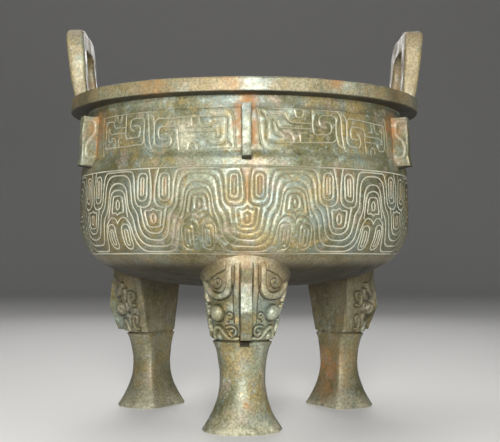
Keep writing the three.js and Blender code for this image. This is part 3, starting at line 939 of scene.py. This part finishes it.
# Ears

def arch_path(width, foot, top, corner):
    """The outline of an arch, as [across, height], up one side and down the other."""
    half = width / 2
    return rounded([(-half, foot), (-half, top), (half, top), (half, foot)], corner)


def ears():
    foot = RIM_TOP - EAR_ROOT
    outer = resampled(arch_path(EAR_WIDTH, foot, EAR_TOP, EAR_CORNER), EAR_STATIONS)
    inner = resampled(arch_path(EAR_HOLE_WIDTH, foot, EAR_HOLE_TOP, EAR_HOLE_CORNER), EAR_STATIONS)
    bar = (EAR_WIDTH - EAR_HOLE_WIDTH) / 2
    depth = EAR_OUTER_FOOT - EAR_INNER_FOOT
    section = rounded([(0, 0), (bar, 0), (bar, depth), (0, depth)], EAR_EDGE, closed=True)
    section = resampled(section, EAR_COLUMNS + 1)[:-1]
    share, through = section[:, 0] / bar, section[:, 1] / depth
    for name, side in (("ear_right", 1), ("ear_left", -1)):
        flat = mix(inner[:, None, :], outer[:, None, :], share[None, :, None])
        across, height = flat[..., 0], flat[..., 1]
        up = (height - RIM_TOP) / (EAR_TOP - RIM_TOP)
        out = mix(mix(EAR_INNER_FOOT, EAR_INNER_TOP, up), mix(EAR_OUTER_FOOT, EAR_OUTER_TOP, up), through)
        points = np.stack([side * out, across, height], -1)
        points += 0.3 * np.stack([unevenness(points, 18, EAR_SEED + axis + side) for axis in range(3)], -1)
        piece = grid_piece(name, points)
        face = np.abs(across) < EAR_WIDTH / 2 - 3
        masks = {"tan": mix(0.9, 0.7, face), "pale": 0.12, "rust": 0.3 * face}
        finish_piece(piece, {name: with_poles(values + 0 * across) for name, values in masks.items()})


# Legs

def leg_radius(height):
    hoof = LEG_WAIST_RADIUS + HOOF_FLARE * np.clip(1 - height / LEG_WAIST_HEIGHT, 0, 1) ** 2
    calf = hoof + CALF_FLARE * (np.clip(height - LEG_WAIST_HEIGHT, 0, None) / CALF_LENGTH) ** 2
    calf = calf + CALF_LIP * smooth(CALF_TOP - 4, CALF_TOP, height)
    up = np.clip((height - MASK_FOOT) / (MASK_TOP - MASK_FOOT), 0, 1)
    mask = mix(MASK_FOOT_RADIUS, MASK_TOP_RADIUS, up ** MASK_POWER)
    seam = MASK_FOOT_RADIUS - 1.3
    lower = mix(calf, seam, smooth(CALF_TOP, CALF_TOP + 0.4, height))
    return mix(lower, mask, smooth(MASK_FOOT - 0.4, MASK_FOOT, height))


def dome(across, up, middle, height, half_width, half_height):
    """Height of a round boss, 1 in its middle, and how far out from there a place lies, 1 at its edge."""
    out = np.hypot((across - middle) / half_width, (up - height) / half_height)
    return np.sqrt(np.clip(1 - out ** 2, 0, 1)), out


def mask_relief(across, up):
    """Height of the animal mask's relief, and its incised lines, at each side of the nose ridge."""
    horn = [(7.6, 93), (7.6, 80), (9, 75), (13, 72.8), (18, 73.2), (22.4, 76), (24.4, 79)]
    spiral = [(21.6, 79.6), (18.4, 77), (14.2, 77.2), (12.2, 79.8)]
    spiral += [(13.2, 82.6), (16, 82.6), (16.4, 80.4), (14.8, 79.8)]
    jaw = [(22, 49.6), (20.8, 54.4), (18.6, 56.4), (16, 56.2)]
    jaw += [(13.6, 54.2), (11.2, 51), (8.6, 50.2), (4, 50.2)]
    nostril = [(11.4, 56.2), (9, 57.2), (5.8, 56), (5.2, 53.4)]
    nostril += [(7, 51.6), (9.4, 52.2), (9.6, 54.2), (7.8, 54.6)]
    curl = [(10.4, 60.2), (10.6, 63.2), (8.8, 64.4), (7.2, 62.8), (8.2, 61.2), (9.2, 62.2)]
    temple = [(25.6, 75.4), (26.4, 73), (25, 70.4)]
    cheek = [(24.6, 67.4), (26, 65.6), (25, 63.4)]
    chin = [(25, 60), (26.4, 57.4), (25, 54)]
    ear = [(31.6, 66.4), (28.4, 65.8), (27.2, 70), (28.8, 74.6), (32, 74), (32, 70.2), (29.8, 69.4)]
    ruff = [(31.8, 51.4), (28.4, 51.8), (27.8, 56.4), (29.6, 60), (32, 58.6), (31, 55.4)]
    bands = (  # corners, how far a turn is rounded, half width, rise
        (horn, 5, 1.6, 1.9),
        (jaw, 2.4, 1, 1.5),
        (nostril, 1.8, 0.6, 0.9),
        (curl, 1.4, 0.5, 0.7),
        (temple, 2, 1.2, 1.6),
        (cheek, 2, 1, 1.5),
        (chin, 2, 1.2, 1.6),
        (ear, 2, 0.9, 1.2),
        (ruff, 2, 0.9, 1.1),
    )
    brow = rounded([(9.6, 87.4), (18, 83.4), (28, 77)], 3)
    on_strip = smooth(STRIP_FOOT, STRIP_FOOT + 1.5, up)
    strip = (1 - smooth(STRIP_HALF - 0.3, STRIP_HALF + 0.3, across)) * smooth(STRIP_TOP, STRIP_TOP - 4, up)
    height = np.maximum(0.8 * strip * on_strip, 0.9 * smooth(CORNER_STRIP, CORNER_STRIP + 0.6, across))
    lines = line_profile(np.abs(across - STRIP_HALF - 0.5), 0.5) * on_strip
    lines = np.maximum(lines, line_profile(np.abs(across - NOSE_THICKNESS / 2 - 0.1), 0.5))
    lines = np.maximum(lines, line_profile(distance(across, up, [brow, rounded(spiral, 2)]), 0.55))
    for corners, turn, half_width, rise in bands:
        gap = distance(across, up, [rounded(corners, turn)])
        crown = 1 - 0.2 * np.clip(gap / half_width, 0, 1) ** 2
        height = np.maximum(height, rise * crown * (1 - smooth(half_width - 0.25, half_width + 0.3, gap)))
        beside = line_profile(np.abs(gap - half_width - 0.45), 0.5)
        lines = np.maximum(lines * smooth(0, half_width, gap), beside)
    eye, out = dome(across, up, *EYE)
    pupil, _ = dome(across, up, *PUPIL)
    boss, _ = dome(across, up, *JAW_BOSS)
    height = np.maximum.reduce([height, 4 * eye - 0.7 * pupil, 1.3 * boss])
    lines = np.maximum.reduce([lines, line_profile(np.abs(out - 1.08) * 4.5, 0.6), 0.7 * pupil])
    return height - 0.6 * lines, lines


def bowl_gap(points):
    """About how far points lie outside the lower bowl, or inside it where negative."""
    out = np.linalg.norm(points[..., :2], axis=-1) / BELLY_RADIUS
    depth = BELLY_HEIGHT - BOTTOM_HEIGHT
    drop = np.clip((BELLY_HEIGHT - points[..., 2]) / depth, 0.01, None)
    level = out ** BOWL_WIDTH_POWER + drop ** BOWL_DROP_POWER - 1
    across = BOWL_WIDTH_POWER * out ** (BOWL_WIDTH_POWER - 1) / BELLY_RADIUS
    along = BOWL_DROP_POWER * drop ** (BOWL_DROP_POWER - 1) / depth
    return level / np.hypot(across, along)


def bowl_underside(out):
    """Height of the bowl's outside below its widest place, at a distance from the axis."""
    rise = np.clip(1 - (out / BELLY_RADIUS) ** BOWL_WIDTH_POWER, 0, 1) ** (1 / BOWL_DROP_POWER)
    return BELLY_HEIGHT - (BELLY_HEIGHT - BOTTOM_HEIGHT) * rise


def leg_section(bearing, column, spread):
    """Radius of the leg about its own axis: a round column with a flat back, which meet in a soft corner."""
    behind = (BACK_DEPTH + BACK_FLARE * spread) / np.clip(-np.cos(bearing), 0.02, 1)
    corner = np.clip(0.5 + 0.5 * (behind - column) / 2, 0, 1)
    return mix(behind, column, corner) - 2 * corner * (1 - corner)


def leg_grid():
    """Bearings about the leg's axis, from its front, and heights: fine where the mask is."""
    front = math.radians(115)
    fine = np.linspace(-front, front, LEG_FRONT_COLUMNS)
    coarse = np.linspace(front, TURN - front, LEG_BACK_COLUMNS + 2)[1:-1]
    hoof = np.concatenate([[0, 0.25, 0.7], np.linspace(1.4, LEG_WAIST_HEIGHT, 26)])
    calf = np.linspace(LEG_WAIST_HEIGHT + 1, CALF_TOP - 4, 14)
    mask = np.linspace(CALF_TOP - 3.7, LEG_TOP, 190)
    return np.meshgrid(np.concatenate([fine, coarse]), np.concatenate([hoof, calf, mask]))


def leg_form(drop):
    """A leg's points, in millimetres, as if it stood at the front, and its masks."""
    bearing, height = leg_grid()
    widest = leg_section(bearing, MASK_TOP_RADIUS, 0)
    end = bowl_underside(np.hypot(widest * np.sin(bearing), LEG_CIRCLE + widest * np.cos(bearing))) + LEG_SINK
    bent = mix(LEG_BEND, end, (height - LEG_BEND) / (LEG_TOP - LEG_BEND))
    height = np.where(height > LEG_BEND, bent, height)
    # Heights on the leg as drawn: what is above the waist moves down with the animal mask.
    up = height + drop * smooth(LEG_WAIST_HEIGHT, CALF_TOP - 5, height)
    lean = LEG_LEAN * smooth(LEAN_TOP, LEAN_FOOT, up)
    # The mask faces along the nose ridge, which the leaning column leaves behind.
    across = np.abs((bearing - lean / LEAN_RADIUS + math.pi) % TURN - math.pi) * MASK_SHEET_RADIUS
    spread = np.clip(1 - height / LEG_WAIST_HEIGHT, 0, 1) ** 2
    radius = leg_section(bearing, leg_radius(up), spread)
    relief, lines = mask_relief(across, up)
    on_mask = smooth(MASK_FOOT - 0.3, MASK_FOOT + 0.1, up) * smooth(92, 88, up)
    on_mask *= smooth(MASK_EDGE, MASK_EDGE - 1.5, across)
    notch = smooth(CALF_TOP - 2.6, CALF_TOP - 2.2, up) * smooth(NOSE_FOOT + 1, NOSE_FOOT, up)
    notch *= smooth(NOSE_THICKNESS / 2 + 0.6, NOSE_THICKNESS / 2, across)
    radius = radius + relief * on_mask - 1.6 * notch - 0.9 * smooth(0.8, 0, height)
    points = np.stack([radius * np.sin(bearing) - lean, -LEG_CIRCLE - radius * np.cos(bearing), height], -1)
    # At its sides and back the leg spreads where it runs into the bowl.
    near = np.clip(1 - bowl_gap(points) / LEG_FILLET, 0, 1.8)
    aside = smooth(math.radians(15), math.radians(60), np.abs((bearing + math.pi) % TURN - math.pi))
    flare = LEG_FILLET / 4 * near ** 2 * aside
    points[..., 0] += flare * np.sin(bearing)
    points[..., 1] -= flare * np.cos(bearing)
    # The dark mask here is painted shade: in the groove below the mask, the notch under the nose, the sides
    # where the leg meets the bowl, and the mask's recesses and lines
    shade = np.maximum(0.97 * lines, 0.22 * smooth(0.3, 0, relief))
    seam = smooth(CALF_TOP, CALF_TOP + 0.4, up) * smooth(MASK_FOOT + 0.2, MASK_FOOT - 0.3, up)
    # The foot is paler towards its bottom
    pale_foot = 0.8 * smooth(13, 1, up) + 0.2 * smooth(3.5, 1.5, up)
    masks = {
        "tan": 0.85 * smooth(68, 82, up),
        "pale": 0.4 * smooth(0.8, 1.8, relief * on_mask) + pale_foot,
        "dark": np.maximum.reduce([0.75 * seam, notch, 0.75 * aside * smooth(0.1, 1, near), shade * on_mask]),
    }
    return points, masks


def legs():
    forms = {drop: leg_form(drop) for drop in MASK_DROP}
    for k, drop in enumerate(MASK_DROP):
        form, masks = forms[drop]
        points = form @ turn_about_axis(TURN * k / LEG_COUNT)
        swell = 0.14 * unevenness(points, 22, LEG_SEED) + 0.06 * unevenness(points, 6, LEG_SEED + 1)
        points = points + (smooth(0, 3, points[..., 2]) * swell)[..., None]
        chips = smooth(0.5, 1.1, unevenness(points, 7, LEG_SEED + 2)) * smooth(2.8, 0.4, points[..., 2])
        inwards = place(TURN * k / LEG_COUNT, LEG_CIRCLE, 0) - points
        points[..., :2] += CHIP_SHARE * chips[..., None] * inwards[..., :2]
        piece = grid_piece(f"leg_{k}", points)
        for name, values in masks.items():
            keep_mask(piece, name, with_poles(values))
        raise_mask(piece, "dark", with_poles(0.5 * chips))
        if k > 0:
            # Painted shadow of the bowl on the back legs, darker higher up
            bowl_shadow = 0.3 + 0.2 * smooth(45, 60, corners_of(piece)[:, 2])
            raise_mask(piece, "dark", bowl_shadow)
            raise_mask(piece, "tan", 0.4)
        thin_out(piece, LEG_FACES)
        finish_piece(piece, {}, LEG_CREASE)


def turn_about_axis(angle):
    c, s = math.cos(angle), math.sin(angle)
    return np.array([[c, s, 0], [-s, c, 0], [0, 0, 1]])


def nose_reach(height):
    knots = [NOSE_FOOT, NOSE_PEAK - 0.5, NOSE_PEAK + 0.5, NOSE_BROW, NOSE_TOP]
    reaches = [NOSE_FOOT_REACH, NOSE_PEAK_REACH, NOSE_PEAK_REACH, NOSE_BROW_REACH, NOSE_TOP_REACH]
    return float(np.interp(height, knots, reaches))


def noses():
    heights = np.linspace(NOSE_FOOT, NOSE_TOP, 70)
    points = plate_points(heights, LEG_CIRCLE + 4, nose_reach, NOSE_THICKNESS, NOSE_EDGE)
    height = points[..., 2]
    # Painted shade on the nose's lower, downward-facing part and under its foot, over a slight darkening of
    # the whole nose
    below_peak = smooth(NOSE_PEAK, NOSE_PEAK - 1, height)
    dark = np.maximum(mix(0.16, 0.34, below_peak), smooth(NOSE_FOOT + 0.4, NOSE_FOOT, height))
    for k, drop in enumerate(MASK_DROP):
        stood = stand(points - (0, 0, drop), TURN * k / LEG_COUNT)
        stood += (0.1 * unevenness(stood, 8, NOSE_SEED))[..., None]
        finish_piece(grid_piece(f"nose_{k}", stood), {"dark": with_poles(dark)})


# Studio

def backdrop():
    """A pale floor that sweeps up into a wall far behind the vessel."""
    angles = np.linspace(0, math.pi / 2, 16)
    sweep = [(FLOOR_END + FLOOR_BEND * math.sin(a), FLOOR_BEND - FLOOR_BEND * math.cos(a)) for a in angles]
    line = [(FLOOR_NEAR, 0.0), *sweep, (FLOOR_END + FLOOR_BEND, WALL_HEIGHT)]
    corners = [(side * FLOOR_HALF, y, z) for y, z in line for side in (-1, 1)]
    faces = [(2 * i, 2 * i + 1, 2 * i + 3, 2 * i + 2) for i in range(len(line) - 1)]
    mesh = bpy.data.meshes.new("floor")
    mesh.from_pydata(corners, [], faces)
    mesh.polygons.foreach_set("use_smooth", [True] * len(faces))
    floor = bpy.data.objects.new("floor", mesh)
    bpy.context.collection.objects.link(floor)
    material = bpy.data.materials.new("pale_floor")
    material.use_nodes = True
    shader = material.node_tree.nodes["Principled BSDF"]
    shader.inputs["Base Color"].default_value = FLOOR_COLOUR
    shader.inputs["Roughness"].default_value = 0.9
    mesh.materials.append(material)


def softbox(name, spot, aim, size, watts, spread):
    lamp = bpy.data.lights.new(name, "AREA")
    lamp.size = size
    lamp.energy = watts
    lamp.spread = math.radians(spread)
    holder = bpy.data.objects.new(name, lamp)
    holder.location = spot
    direction = np.array(aim) - np.array(spot)
    yaw = math.atan2(direction[0], -direction[1])
    pitch = math.atan2(math.hypot(direction[0], direction[1]), -direction[2])
    holder.rotation_euler = (-pitch, 0, yaw)
    bpy.context.collection.objects.link(holder)


def studio():
    backdrop()
    for light in LIGHTS:
        softbox(*light)
    world = bpy.data.worlds.new("studio")
    world.use_nodes = True
    sky = world.node_tree.nodes["Background"]
    sky.inputs["Color"].default_value = SKY_COLOUR
    sky.inputs["Strength"].default_value = SKY_STRENGTH
    bpy.context.scene.world = world
    bpy.context.scene.view_settings.view_transform = "Standard"


def camera():
    lens = bpy.data.cameras.new("camera")
    lens.lens = CAMERA_LENS
    lens.sensor_width = CAMERA_SENSOR
    holder = bpy.data.objects.new("camera", lens)
    holder.location = CAMERA_PLACE
    holder.rotation_euler = (math.radians(CAMERA_PITCH), 0, math.radians(CAMERA_YAW))
    bpy.context.collection.objects.link(holder)
    bpy.context.scene.camera = holder


camera()
studio()
bowl()
wave_frieze()
scroll_frieze()
flanges()
ears()
legs()
noses()
